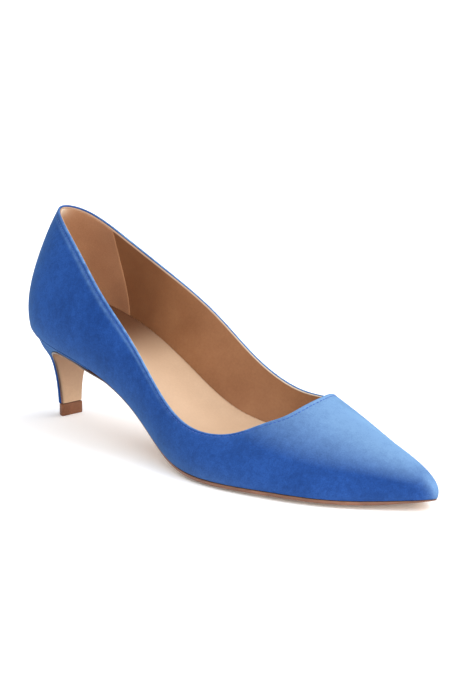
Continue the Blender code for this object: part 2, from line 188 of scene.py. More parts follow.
# outer wall: for each place around, the cubic foot, low handle, high handle, top at the shares in up
def wallPoints(around, up):
    value, outward = wallFrame(around)
    foot = np.column_stack((value["footX"], value["footY"], featherHeight(value["footX"])))
    top = np.column_stack((value["topX"], value["topY"], value["topZ"]))
    low, high = foot.copy(), top.copy()
    low[:, :2] += value["lowOut"][:, None] * outward
    low[:, 2] += value["lowUp"]
    high[:, :2] += shoe["topReach"] * (foot - top)[:, :2] + value["highOut"][:, None] * outward
    high[:, 2] += value["highUp"]
    t = np.broadcast_to(up, (len(around), np.shape(up)[-1]))[:, :, None]
    lower = foot[:, None] * (1.0 - t)**3 + 3.0 * low[:, None] * t * (1.0 - t)**2
    return lower + 3.0 * high[:, None] * t**2 * (1.0 - t) + top[:, None] * t**3


# wall point, unit direction up, unit normal outward, and mm per whole step around and up
def wallSkin(around, up, small=0.0005):
    up = np.broadcast_to(up, (len(around), np.shape(up)[-1]))
    sideways = (wallPoints(around + small, up) - wallPoints(around - small, up)) / (2.0 * small)
    upward = (wallPoints(around, up + small) - wallPoints(around, up - small)) / (2.0 * small)
    perUp = np.linalg.norm(upward, axis=-1, keepdims=True)
    normal = np.cross(upward, sideways)
    normal /= np.linalg.norm(normal, axis=-1, keepdims=True)
    return dict(point=wallPoints(around, up), rise=upward / perUp, normal=normal,
                perAround=np.linalg.norm(sideways, axis=-1), perUp=perUp[..., 0])


# wall skin for a grid of places around and shares up
def gridSkin(around, up):
    skin = wallSkin(around.ravel(), up.reshape(-1, 1))
    return {key: value.reshape(around.shape + value.shape[2:]) for key, value in skin.items()}


# shares of the wall that lie given distances below the rim, a row for each place around
def belowRim(around, distance, near=0.995):
    perUp = wallSkin(around, np.array([near]))["perUp"]
    return 1.0 - np.asarray(distance)[None, :] / perUp


# a ring of points cut at its ends in x: the outer side and the inner side, both from back to toe
def splitRing(ring):
    ring = np.roll(ring, -int(np.argmax(ring[:, 0])), axis=0)
    back = int(np.argmin(ring[:, 0]))
    return ring[:back + 1][::-1], np.vstack((ring[back:], ring[:1]))


# outer and inner y of the feather outline at each x, stepped out by its own distance
def soleEdges(x, stepOut, samples=900):
    value, outward = wallFrame(np.linspace(0.0, 1.0, samples, endpoint=False))
    foot = np.column_stack((value["footX"], value["footY"]))
    order = np.argsort(x)
    outer, inner = splitRing(foot + np.interp(foot[:, 0], x[order], stepOut[order])[:, None] * outward)
    return np.interp(x, outer[:, 0], outer[:, 1]), np.interp(x, inner[:, 0], inner[:, 1])


# Mesh making

# six times the volume under faces of one corner count, each taken as a fan from its first corner
def fanVolume(points, faces):
    first, second, third = points[faces[:, :1]], points[faces[:, 1:-1]], points[faces[:, 2:]]
    return np.sum(np.cross(second - first, third - first) * first)


# piece from points in the shoe's frame and faces, its faces turned outward by the sign of its volume
def makePiece(name, points, quads, caps, materials, faceSlots=None, capSlot=0, attributes=None,
              sharpAngle=45.0):
    world = (points + shoeOrigin) * mm
    if fanVolume(world, quads) + (fanVolume(world, np.array(caps)) if caps else 0.0) < 0.0:
        quads = quads[:, ::-1]
        caps = [cap[::-1] for cap in caps]
    mesh = bpy.data.meshes.new(name)
    mesh.from_pydata(world.tolist(), [], quads.tolist() + caps)
    for material in materials:
        mesh.materials.append(material)
    if faceSlots is not None:
        slots = np.append(faceSlots, np.full(len(caps), capSlot)).astype(np.int32)
        mesh.polygons.foreach_set("material_index", slots)
    for key, values in (attributes or {}).items():
        layer = mesh.attributes.new(key, "FLOAT", "POINT")
        layer.data.foreach_set("value", values.astype(np.float32).ravel())
    mesh.shade_smooth()
    mesh.set_sharp_from_angle(angle=np.radians(sharpAngle))
    mesh.validate()
    piece = bpy.data.objects.new(name, mesh)
    bpy.context.scene.collection.objects.link(piece)
    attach(piece, "root")
    return piece


# quads of a grid of point numbers, joined up where a direction is a loop
def gridQuads(rows, columns, loopRows=False, loopColumns=False):
    number = np.arange(rows * columns).reshape(rows, columns)
    number = np.vstack((number, number[:1])) if loopRows else number
    number = np.column_stack((number, number[:, :1])) if loopColumns else number
    corners = (number[:-1, :-1], number[1:, :-1], number[1:, 1:], number[:-1, 1:])
    return np.stack(corners, axis=-1).reshape(-1, 4)


# loops of points carried along rows, the loop closed, and the rows closed or capped at both ends
def loopPiece(name, grid, materials, loopRows=False, columnSlots=None, **extra):
    rows, columns = grid.shape[:2]
    quads = gridQuads(rows, columns, loopRows, True)
    bands = rows if loopRows else rows - 1
    last = np.arange((rows - 1) * columns, rows * columns)
    # each cap is walked so that it agrees with the bands beside it
    caps = [] if loopRows else [list(range(columns)), last[::-1].tolist()]
    faceSlots = None if columnSlots is None else np.tile(columnSlots, bands)
    return makePiece(name, grid.reshape(-1, 3), quads, caps, materials, faceSlots, **extra)


# thin closed slab between a front and a back grid, joined along their border
def slabPiece(name, front, back, materials, **extra):
    rows, columns = front.shape[:2]
    number = np.arange(rows * columns).reshape(rows, columns)
    border = np.concatenate((number[0, :-1], number[:-1, -1], number[-1, :0:-1], number[:0:-1, 0]))
    after = np.roll(border, -1)
    count = rows * columns
    face = gridQuads(rows, columns)
    sides = np.column_stack((border, after, after + count, border + count))
    quads = np.vstack((face, face[:, ::-1] + count, sides))
    points = np.vstack((front.reshape(-1, 3), back.reshape(-1, 3)))
    return makePiece(name, points, quads, [], materials, **extra)


# Material making

cloudTones = (0.34, 0.50, 0.66)      # where a noise turns dark, middling and light


# node with its settings and sockets: a socket as value is linked, any other value is set
def put(tree, kind, sockets=None, **settings):
    node = tree.nodes.new(kind)
    for key, value in settings.items():
        setattr(node, key, value)
    for key, value in (sockets or {}).items():
        if isinstance(value, bpy.types.NodeSocket):
            tree.links.new(value, node.inputs[key])
        else:
            node.inputs[key].default_value = value
    return node


# new material, its nodes, and the place of a point on the piece
def blank(name):
    material = bpy.data.materials.new(name)
    material.use_nodes = True
    tree = material.node_tree
    return material, tree, put(tree, "ShaderNodeTexCoord").outputs["Object"]


# colour, normal and roughness of a material; the other values are set, with _ for a space in a socket's name
def dress(tree, colour, normal, roughness, **values):
    shader = tree.nodes["Principled BSDF"]
    tree.links.new(colour, shader.inputs["Base Color"])
    if normal is not None:
        tree.links.new(normal, shader.inputs["Normal"])
    if isinstance(roughness, bpy.types.NodeSocket):
        tree.links.new(roughness, shader.inputs["Roughness"])
    else:
        shader.inputs["Roughness"].default_value = roughness
    for key, value in values.items():
        shader.inputs[key.replace("_", " ")].default_value = value


def noise(tree, place, scale, detail=3.0, roughness=0.5):
    sockets = {"Vector": place, "Scale": scale, "Detail": detail, "Roughness": roughness}
    return put(tree, "ShaderNodeTexNoise", sockets).outputs["Fac"]


def pores(tree, place, scale):
    return put(tree, "ShaderNodeTexVoronoi", {"Vector": place, "Scale": scale}).outputs["Distance"]


# the place with some directions drawn out, so that a noise there turns to lines
def drawnOut(tree, place, scale):
    return put(tree, "ShaderNodeMapping", {"Vector": place, "Scale": scale}).outputs["Vector"]


def ramp(tree, share, places, colours):
    node = put(tree, "ShaderNodeValToRGB", {"Fac": share})
    elements = node.color_ramp.elements
    while len(elements) < len(places):
        elements.new(0.5)
    for element, position, colour in zip(elements, places, colours):
        element.position = position
        element.color = (*colour, 1.0)
    return node.outputs["Color"]


def times(tree, first, second):
    return put(tree, "ShaderNodeMath", {0: first, 1: second}, operation="MULTIPLY").outputs[0]


# sum of the values, each times its weight
def weighted(tree, *pairs):
    total, *rest = [times(tree, value, weight) for value, weight in pairs]
    for part in rest:
        total = put(tree, "ShaderNodeMath", {0: total, 1: part}, operation="ADD").outputs[0]
    return total


# three shades, dark to light, by a broad and a fine noise
def cloudy(tree, broad, fine, fineShare, shades):
    return ramp(tree, weighted(tree, (broad, 1.0 - fineShare), (fine, fineShare)), cloudTones, shades)


# from a colour on the piece towards a fixed one
def blendColour(tree, share, first, second):
    sockets = {0: share, 6: first, 7: (*second, 1.0)}
    return put(tree, "ShaderNodeMix", sockets, data_type="RGBA").outputs[2]


def between(tree, value, low, high, toLow, toHigh):
    sockets = {"Value": value, "From Min": low, "From Max": high, "To Min": toLow, "To Max": toHigh}
    return put(tree, "ShaderNodeMapRange", sockets).outputs["Result"]


def attribute(tree, name):
    return put(tree, "ShaderNodeAttribute", attribute_name=name).outputs["Fac"]


def heightOf(tree, place):
    return put(tree, "ShaderNodeSeparateXYZ", {0: place}).outputs["Z"]


def bump(tree, height, distance, strength):
    sockets = {"Height": height, "Distance": distance, "Strength": strength}
    return put(tree, "ShaderNodeBump", sockets).outputs["Normal"]


# Suede

suedeLook = dict(
    shades=((0.006, 0.034, 0.164), (0.009, 0.046, 0.210), (0.014, 0.063, 0.268)), tones=(0.40, 0.50, 0.60),
    # pale is the painted sheen colour; the colour after it is the painted rim highlight
    pale=(0.140, 0.258, 0.450), rimHighlight=(0.135, 0.265, 0.49), seam=(0.004, 0.018, 0.10),
    patchScale=48.0, mottleScale=330.0, napScale=1500.0, napDepth=0.00022,
    sheen=0.16, sheenTint=(0.36, 0.74, 1.0, 1.0),
)


# napped leather: broad patches, mottling and fine nap shift one blue; painted sheen makes it paler on the lit
# vamp, nose and wall foot, and a marked piece gets a painted highlight along its rim and is darkened in its
# seam
def suedeMaterial(name, marked):
    look = suedeLook
    material, tree, place = blank(name)
    patches = noise(tree, place, look["patchScale"])
    mottle = noise(tree, place, look["mottleScale"], 4.0, 0.6)
    nap = noise(tree, place, look["napScale"], 3.0, 0.7)
    tone = weighted(tree, (patches, 0.30), (mottle, 0.30), (nap, 0.40))
    colour = ramp(tree, tone, look["tones"], look["shades"])
    # painted sheen: the base colour turns paler where the light falls
    lifted = times(tree, attribute(tree, "paintedSheen"), between(tree, tone, 0.36, 0.64, 0.72, 1.16))
    colour = blendColour(tree, lifted, colour, look["pale"])
    if marked:
        # painted highlight along the rim's fold and the ridge under the stitching
        rimLight = times(tree, attribute(tree, "rimHighlightShare"), between(tree, mottle, 0.35, 0.65, 0.55, 1.25))
        colour = blendColour(tree, rimLight, colour, look["rimHighlight"])
        colour = blendColour(tree, attribute(tree, "seamShade"), colour, look["seam"])
    fibre = weighted(tree, (nap, 0.7), (mottle, 0.3))
    roughness = between(tree, mottle, 0.3, 0.7, 0.86, 0.97)
    dress(tree, colour, bump(tree, fibre, look["napDepth"], 0.55), roughness, Specular_IOR_Level=0.06,
          Sheen_Weight=look["sheen"], Sheen_Roughness=0.45, Sheen_Tint=look["sheenTint"])
    return material


upperSuede = dict(
    thickness=0.9, around=440, wallRows=58, rimRows=26, rimBand=5.4, foldRows=9, backRows=16,
    foldPuff=0.08, puffBelow=1.1, puffReach=0.6, stitchBelow=2.1, stitchDepth=0.20, stitchWidth=0.40,
)

# side seam on the inner side: places around at the top and the foot, its trough and raised lips, its
# darkness, and how the columns of points crowd beside it and lean with it
sideSeam = dict(
    top=0.741, foot=0.702, depth=0.32, width=0.40, lip=0.12, lipAway=1.2, lipReach=0.6,
    dark=0.75, darkReach=0.35, crowd=8.0, crowdReach=0.004, leanReach=0.03,
)
seamMiddle = 0.5 * (sideSeam["top"] + sideSeam["foot"])

# painted sheen where the light falls on the vamp: from a height over the floor it grows paler over a depth,
# for each x;
# the nose is painted pale on its lit inner side down to the sole, and the foot of the wall a little
paintedSheenZones = dict(
    x=(150.0, 180.0, 200.0, 220.0, 248.0), height=(21.0, 16.8, 14.2, 12.5, 9.6),
    depth=(18.5, 16.0, 12.4, 9.0, 5.8), most=1.2, softStart=0.14, fadeX=(140.0, 172.0),
    nose=0.9, noseX=(228.0, 247.0), noseSide=(-0.90, -0.10), noseHeight=(1.0, 9.0),
    foot=0.22, footReach=5.0, footX=(150.0, 190.0), footFade=0.75, front=0.03, frontX=(60.0, 130.0),
)

# painted highlight by mm below the rim: on the fold, and a streak under the stitching along the quarters
rimHighlight = dict(foldReach=0.75, streak=0.34, streakBelow=2.75, streakReach=1.0,
              heelX=(12.0, 45.0), heelShare=0.3, foreX=(90.0, 135.0), foreShare=0.12)


# the side seam is a straight line in around and up
def seamLine(up):
    return sideSeam["foot"] + (sideSeam["top"] - sideSeam["foot"]) * up


# places around for the columns, crowded beside the seam by a bell-shaped density
def seamColumns(samples=20001):
    fine = np.linspace(0.0, 1.0, samples)
    density = 1.0 + sideSeam["crowd"] * bell(fine - seamMiddle, sideSeam["crowdReach"])
    travelled = np.append(0.0, np.cumsum(0.5 * (density[1:] + density[:-1])))
    return np.interp(np.linspace(0.0, travelled[-1], upperSuede["around"], endpoint=False), travelled, fine)


# columns near the seam lean with it, so that one of them runs along it
def leaned(around, up):
    bend = bell(around - seamMiddle, sideSeam["leanReach"])
    return around[:, None] + bend[:, None] * (seamLine(up) - seamMiddle)


# share of painted sheen, the largest of the vamp's, the nose's and the foot's
def paintedSheen(x, z, sideways, overFoot):
    make = paintedSheenZones
    start, depth = openSpline(make["x"], make["height"], x), openSpline(make["x"], make["depth"], x)
    over = np.clip((z - start) / depth, 0.0, make["most"])
    vamp = np.minimum(over**2 / (over + make["softStart"]), 1.0) * stepped(x, *make["fadeX"])
    nose = make["nose"] * stepped(x, *make["noseX"]) * stepped(sideways, *make["noseSide"])
    nose *= stepped(z, *make["noseHeight"])
    foot = make["foot"] * np.exp(-overFoot / make["footReach"])
    foot *= 1.0 - make["footFade"] * stepped(x, *make["footX"])
    foot += make["front"] * stepped(x, *make["frontX"])
    return np.maximum(vamp, np.maximum(nose, foot))


# share of the painted rim highlight: bell curves over the distance below the rim, weaker round the heel, and
# the streak fading out forwards
def rimHighlightShare(x, below):
    make = rimHighlight
    heelward = make["heelShare"] + (1.0 - make["heelShare"]) * stepped(x, *make["heelX"])
    forward = 1.0 - (1.0 - make["foreShare"]) * stepped(x, *make["foreX"])
    streak = make["streak"] * bell(below - make["streakBelow"], make["streakReach"])
    return heelward * (bell(below, make["foldReach"]) + forward * streak)


# loop for each place around: outer wall from foot to fold with its relief along the normal, a half-round fold
# at the rim, and the flesh side back to the foot
def buildUpper():
    make, cut = upperSuede, sideSeam
    around = seamColumns()
    fold = make["thickness"] / 2.0
    rim = belowRim(leaned(around, 1.0)[:, 0], np.linspace(make["rimBand"], fold, make["rimRows"]))
    wide = rim[:, :1] * np.linspace(0.0, 1.0, make["wallRows"], endpoint=False)[None, :]
    up = np.column_stack((wide, rim))
    place = leaned(around, up)
    skin = gridSkin(place, up)
    below = (1.0 - up) * skin["perUp"]
    relief = make["foldPuff"] * bell(below - make["puffBelow"], make["puffReach"])
    relief -= make["stitchDepth"] * bell(below - make["stitchBelow"], make["stitchWidth"])
    seam = (np.mod(place - seamLine(up) + 0.5, 1.0) - 0.5) * skin["perAround"]
    relief -= cut["depth"] * bell(seam, cut["width"])
    relief += cut["lip"] * bell(np.abs(seam) - cut["lipAway"], cut["lipReach"])
    outer = skin["point"] + relief[..., None] * skin["normal"]

    end = gridSkin(place[:, -1:], up[:, -1:])
    angle = np.linspace(0.0, np.pi, make["foldRows"] + 2)[None, 1:-1, None]
    middle = end["point"] - fold * end["normal"]
    turn = middle + fold * (np.cos(angle) * end["normal"] + np.sin(angle) * end["rise"])

    flesh = up[:, -1:] * np.linspace(1.0, 0.0, make["backRows"])[None, :]
    inside = gridSkin(leaned(around, flesh), flesh)
    grid = np.concatenate((outer, turn, inside["point"] - make["thickness"] * inside["normal"]), axis=1)
    folded = np.zeros((make["around"], make["foldRows"]))
    hidden = np.zeros(flesh.shape)
    x, z = skin["point"][..., 0], skin["point"][..., 2]
    # painted highlight along the rim's fold and the ridge under the stitching
    rimLight = rimHighlightShare(x, below)
    # painted sheen on the lit vamp, the nose and the foot of the wall
    lift = paintedSheen(x, z, skin["normal"][..., 1], up * skin["perUp"])
    attributes = dict(
        rimHighlightShare=np.column_stack((rimLight, folded + rimLight[:, -1:], hidden)),
        seamShade=np.column_stack((cut["dark"] * bell(seam, cut["darkReach"]), folded, hidden)),
        paintedSheen=np.column_stack((lift, folded, hidden)),
    )
    piece = loopPiece("upperSuede", grid, [suedeMaterial("suede", True)], True, attributes=attributes)
    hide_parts("upper")


buildUpper()
print("upper suede ready")


# Topline stitching

topStitch = dict(
    pitch=1.95, length=1.30, radius=0.17, sunk=0.12, sides=8, rings=6, blunt=0.6, poleGap=0.06,
    shades=((0.012, 0.045, 0.24), (0.030, 0.11, 0.46)), twist=900.0,
)


# twisted thread: two shades of blue in fine wavy bands
def threadMaterial():
    material, tree, place = blank("thread")
    sockets = {"Vector": place, "Scale": topStitch["twist"], "Distortion": 1.5}
    twist = put(tree, "ShaderNodeTexWave", sockets).outputs["Fac"]
    dress(tree, ramp(tree, twist, (0.2, 0.8), topStitch["shades"]), bump(tree, twist, 0.00008, 0.5), 0.62,
          Specular_IOR_Level=0.25, Sheen_Weight=0.15)
    return material


# capsules in the groove below the topline, one per pitch: round rings strung along the line's direction,
# their girth a power of the sine from end to end, sunk a little along the normal
def buildStitches(samples=2401, step=0.0005):
    make = topStitch
    under = [upperSuede["stitchBelow"]]
    fine = np.linspace(0.0, 1.0, samples)
    line = wallSkin(fine, belowRim(fine, under))["point"][:, 0]
    travelled = np.append(0.0, np.cumsum(np.linalg.norm(np.diff(line, axis=0), axis=1)))
    count = int(travelled[-1] / make["pitch"])
    around = np.interp((np.arange(count) + 0.5) * travelled[-1] / count, travelled, fine)
    skin = wallSkin(around, belowRim(around, under))
    normal = skin["normal"][:, 0]
    along = wallSkin(around + step, belowRim(around + step, under))["point"][:, 0] - skin["point"][:, 0]
    along /= np.linalg.norm(along, axis=1)[:, None]
    across = np.cross(normal, along)
    pole = np.linspace(make["poleGap"], np.pi - make["poleGap"], make["rings"])
    lean = np.linspace(0.0, 2.0 * np.pi, make["sides"], endpoint=False)
    lengthwise = -np.cos(pole) * make["length"] / 2.0
    girth = np.sin(pole)**make["blunt"] * make["radius"]
    middle = skin["point"][:, 0] - make["sunk"] * normal
    grid = (middle[:, None, None] + lengthwise[None, :, None, None] * along[:, None, None]
            + (girth[:, None] * np.cos(lean))[None, :, :, None] * normal[:, None, None]
            + (girth[:, None] * np.sin(lean))[None, :, :, None] * across[:, None, None])
    one = gridQuads(make["rings"], make["sides"], False, True)
    size = make["rings"] * make["sides"]
    starts = np.arange(count) * size
    quads = (one[None] + starts[:, None, None]).reshape(-1, 4)
    first = np.arange(make["sides"])
    last = size - 1 - first
    caps = np.concatenate((first[None] + starts[:, None], last[None] + starts[:, None])).tolist()
    piece = makePiece("topStitch", grid.reshape(-1, 3), quads, caps, [threadMaterial()], sharpAngle=80.0)


buildStitches()
print("topline stitching ready")


# Lining and heel grip

# the raw edge shows more towards the throat
lining = dict(
    start=0.95, thickness=0.85, top=0.42, around=360, rows=60, rowCrowding=0.9, edgeRows=5, edgeHeight=0.6,
    backRows=10, rawX=(45.0, 140.0), rawBand=(0.18, 0.40), rawShare=(0.30, 1.0), raw=(0.50, 0.41, 0.32),
    shades=((0.235, 0.100, 0.042), (0.280, 0.125, 0.055), (0.33, 0.154, 0.070)),
)


# smooth glazed lining leather: soft cloudy tone, fine pores, and a pale raw edge along its top
def liningMaterial():
    material, tree, place = blank("liningLeather")
    grain = noise(tree, place, 900.0, 4.0, 0.6)
    colour = cloudy(tree, noise(tree, place, 38.0), grain, 0.3, lining["shades"])
    colour = blendColour(tree, attribute(tree, "rawEdge"), colour, lining["raw"])
    dress(tree, colour, bump(tree, pores(tree, place, 1300.0), 0.00006, 0.25),
          between(tree, grain, 0.3, 0.7, 0.44, 0.60), Specular_IOR_Level=0.35)
    return material


# loop for each place around: the visible face from the foot up, a narrow rounded top edge, the hidden back
def buildLining():
    make = lining
    around = np.linspace(0.0, 1.0, make["around"], endpoint=False)
    depth = make["start"] + make["thickness"]
    half = make["thickness"] / 2.0
    rimGap = make["top"] + half * make["edgeHeight"]
    top = belowRim(around, [rimGap])
    up = top * np.linspace(0.0, 1.0, make["rows"])[None, :]**make["rowCrowding"]
    face = wallSkin(around, up)
    end = wallSkin(around, top)
    angle = np.linspace(np.pi, 0.0, make["edgeRows"] + 2)[None, 1:-1, None]
    middle = end["point"] - (make["start"] + half) * end["normal"]
    edge = middle + half * (np.cos(angle) * end["normal"] + make["edgeHeight"] * np.sin(angle) * end["rise"])
    back = wallSkin(around, top * np.linspace(1.0, 0.0, make["backRows"])[None, :])
    grid = np.concatenate((face["point"] - depth * face["normal"], edge,
                           back["point"] - make["start"] * back["normal"]), axis=1)
    below = (1.0 - up) * face["perUp"] - rimGap
    forward = end["point"][..., 0]
    band, share = (np.interp(forward, make["rawX"], make[key]) for key in ("rawBand", "rawShare"))
    raw = share * np.column_stack((np.clip(1.0 - below / band, 0.0, 1.0),
                                   np.ones((make["around"], make["edgeRows"])),
                                   np.zeros((make["around"], make["backRows"]))))
    piece = loopPiece("lining", grid, [liningMaterial()], True, attributes=dict(rawEdge=raw))


buildLining()
print("lining ready")

heelGrip = dict(
    depth=1.72, base=0.10, thickness=0.28, top=0.9, bottom=0.10, around=130, rows=36,
    edgeReach=0.32, topStart=0.7, topSlope=60.0,        # how the thickness grows from the edges and the top
    outerSide=(0.30, 0.50), innerSide=(0.50, 0.66),     # places around between which the front edges lie
    edgeUp=(0.0, 0.37, 0.51, 0.65, 0.81, 1.0),          # share up the wall
    edgeX=(39.0, 35.1, 33.6, 32.6, 32.6, 33.9),         # x of the front edge there
    shades=((0.40, 0.195, 0.098), (0.47, 0.238, 0.122), (0.54, 0.285, 0.150)),
    # painted highlight under the rim at the back
    pale=(0.86, 0.74, 0.58), paleShare=0.85, paleAt=0.50, paleReach=0.018, paleDepth=5.0,
)


# soft grip leather behind the heel: finer, paler and less glossy than the lining
def gripMaterial():
    material, tree, place = blank("gripLeather")
    nap = noise(tree, place, 1700.0, 3.0, 0.7)
    colour = cloudy(tree, noise(tree, place, 55.0), nap, 0.4, heelGrip["shades"])
    # painted highlight inside the back under the rim
    colour = blendColour(tree, attribute(tree, "backHighlight"), colour, heelGrip["pale"])
    dress(tree, colour, bump(tree, nap, 0.00012, 0.35), 0.82, Specular_IOR_Level=0.2, Sheen_Weight=0.12)
    return material


# thin slab over the lining between a front edge on each side: around runs edge to edge, up runs foot to rim
def buildGrip(samples=241):
    make = heelGrip
    share = np.linspace(make["bottom"], 1.0, make["rows"])
    edgeX = openSpline(make["edgeUp"], make["edgeX"], share)
    outerSide, innerSide = np.linspace(*make["outerSide"], samples), np.linspace(*make["innerSide"], samples)
    outerX = wallPoints(outerSide, share)[:, :, 0]
    innerX = wallPoints(innerSide, share)[:, :, 0]
    first = np.array([np.interp(-x, -column, outerSide) for x, column in zip(edgeX, outerX.T)])
    last = np.array([np.interp(x, column, innerSide) for x, column in zip(edgeX, innerX.T)])
    across = eased(make["around"])
    around = (first[:, None] + (last - first)[:, None] * across).ravel()
    up = np.repeat(share, make["around"])
    skin = wallSkin(around, up[:, None] * belowRim(around, [make["top"]]))
    nearer = np.tile(np.minimum(across, across[::-1]), make["rows"])
    fromEdge = nearer * np.repeat(last - first, make["around"]) * skin["perAround"][:, 0]
    drop = make["thickness"] * (1.0 - np.exp(-fromEdge / make["edgeReach"]))
    drop *= 1.0 - np.exp(-(1.0 - up) * make["topSlope"] - make["topStart"])
    lift = make["depth"] + make["base"] + drop
    point, normal, shape = skin["point"][:, 0], skin["normal"][:, 0], (make["rows"], make["around"], 3)
    below = (1.0 - up) * skin["perUp"][:, 0]
    # painted highlight inside the back under the rim
    pale = make["paleShare"] * bell(around - make["paleAt"], make["paleReach"])
    pale *= bell(below, make["paleDepth"])
    piece = slabPiece("heelGrip", (point - lift[:, None] * normal).reshape(shape),
                      (point - make["depth"] * normal).reshape(shape), [gripMaterial()],
                      attributes=dict(backHighlight=np.tile(pale, 2)), sharpAngle=60.0)


buildGrip()
print("heel grip ready")


# Sock

sock = dict(
    x=(0.0, 50.0, 62.0, 76.0, 100.0),                   # percent of length
    rise=(6.8, 6.8, 5.4, 3.0, 2.2),                     # middle of the sock over the feather line
    cup=(1.7, 1.7, 1.5, 0.8, 0.2),                      # edges over the middle
    base=0.5, inset=0.12, along=150, across=61, cupReach=7.0, edgeDrop=0.4, dropReach=0.35,
    # heelX to dark paint shade into the heel seat and a shadow line along the wall
    heelX=(42.0, 84.0), heelDark=0.95, edgeDark=0.7, edgeReach=0.7, dark=(0.13, 0.050, 0.021),
    shades=((0.44, 0.294, 0.188), (0.49, 0.330, 0.215), (0.54, 0.372, 0.245)),
)


# smooth light tan leather: cloudy tone, faint fine grain, painted shade in the heel seat and along the wall
def sockMaterial():
    material, tree, place = blank("sockLeather")
    grain = noise(tree, place, 1000.0, 4.0, 0.6)
    colour = cloudy(tree, noise(tree, place, 26.0), grain, 0.3, sock["shades"])
    colour = blendColour(tree, attribute(tree, "paintedShade"), colour, sock["dark"])
    dress(tree, colour, bump(tree, pores(tree, place, 1500.0), 0.00005, 0.22),
          between(tree, grain, 0.3, 0.7, 0.42, 0.56), Specular_IOR_Level=0.35)
    return material


# rows across the outline where the lining's face crosses a height over the feather line, a height for each x
def insideRows(height, end=0.03, places=720, shares=110, highest=0.6):
    around = np.linspace(0.0, 1.0, places, endpoint=False)
    skin = wallSkin(around, np.linspace(0.0, highest, shares))
    face = skin["point"] - (lining["start"] + lining["thickness"] + sock["inset"]) * skin["normal"]
    over = face[:, :, 2] - featherHeight(face[:, :, 0]) - height(face[:, :, 0])
    k = np.argmax(over > 0.0, axis=1).clip(1)
    row = np.arange(len(around))
    share = (-over[row, k - 1] / (over[row, k] - over[row, k - 1])).clip(0.0, 1.0)[:, None]
    outer, inner = splitRing((face[row, k - 1] * (1.0 - share) + face[row, k] * share)[:, :2])
    back, toe = inner[0, 0], inner[-1, 0]
    x = back + end + (toe - back - 2.0 * end) * eased(sock["along"])
    outerY, innerY = np.interp(x, outer[:, 0], outer[:, 1]), np.interp(x, inner[:, 0], inner[:, 1])
    across = -np.cos(np.linspace(0.0, np.pi, sock["across"]))
    half = 0.5 * (innerY - outerY)[:, None]
    y = 0.5 * (outerY + innerY)[:, None] + half * across
    return np.broadcast_to(x[:, None], y.shape), y, (1.0 - np.abs(across)) * half


# sock on its padding: the middle at its rise, the edges cupped up to the wall by a bell curve and turned down
# at the very rim, the bottom just over the feather line
def buildSock():
    make = sock
    knots = np.array(make["x"]) * shoe["length"] / 100.0
    x, y, fromEdge = insideRows(lambda at: np.interp(at, knots, np.add(make["rise"], make["cup"])))
    lift = np.interp(x, knots, make["cup"]) * bell(fromEdge, make["cupReach"])
    lift -= make["edgeDrop"] * np.exp(-fromEdge / make["dropReach"])
    top = np.stack((x, y, featherHeight(x) + np.interp(x, knots, make["rise"]) + lift), axis=-1)
    # painted shade: dark over the heel seat, and a painted shadow line where the sock meets the wall
    dark = np.maximum(make["heelDark"] * (1.0 - stepped(x, *make["heelX"])),
                      make["edgeDark"] * bell(fromEdge, make["edgeReach"]))
    x, y = insideRows(lambda at: np.full(at.shape, make["base"]))[:2]
    bottom = np.stack((x, y, featherHeight(x) + make["base"]), axis=-1)
    shade = dict(paintedShade=np.stack((dark, np.zeros(dark.shape))))
    piece = slabPiece("sock", top, bottom, [sockMaterial()], attributes=shade, sharpAngle=60.0)
    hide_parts("insole")


buildSock()
print("sock ready")


# Heel

# sections from the seat to the tip: breast edge, back, half width, and how far the seat's outline has turned
# into a half ellipse
heel = dict(
    breastX=(62.5, 61.8, 50.0, 38.0, 28.2, 22.4, 20.6, 20.0, 20.0, 20.2),
    breastZ=(32.2, 32.0, 34.3, 35.6, 33.8, 29.6, 24.5, 18.0, 12.0, 6.0),
    backX=(1.6, 3.2, 7.3, 10.7, 13.0, 14.4, 15.2, 15.5, 15.5, 15.4),
    backZ=(45.3, 43.6, 40.2, 36.8, 33.4, 29.6, 24.5, 18.0, 12.0, 6.0),
    halfWidth=(22.2, 22.2, 21.6, 20.6, 17.4, 12.6, 9.6, 7.6, 6.6, 6.0),
    roundness=(0.0, 0.08, 0.40, 0.65, 0.88, 0.96, 1.0, 1.0, 1.0, 1.0),
)
heelTip = len(heel["breastX"]) - 1.0      # number of the last section, counted from 0
heelPlan = dict(seatInset=0.05, seatFullness=0.9, seatRings=4, rings=84, around=61, front=13,
                edgeRound=0.25, edgeSegments=3, edgeAngle=50.0)


# section values along the heel: straight from the seat to its rim, then a spline down to the tip
def heelValues(t):
    lower = np.clip(t, 1.0, None)
    places = np.arange(1, len(heel["breastX"]))
    spline = {key: openSpline(places, row[1:], lower) for key, row in heel.items()}
    upper = np.clip(1.0 - t, 0.0, 1.0)
    return {key: spline[key] + upper * (row[0] - row[1]) for key, row in heel.items()}


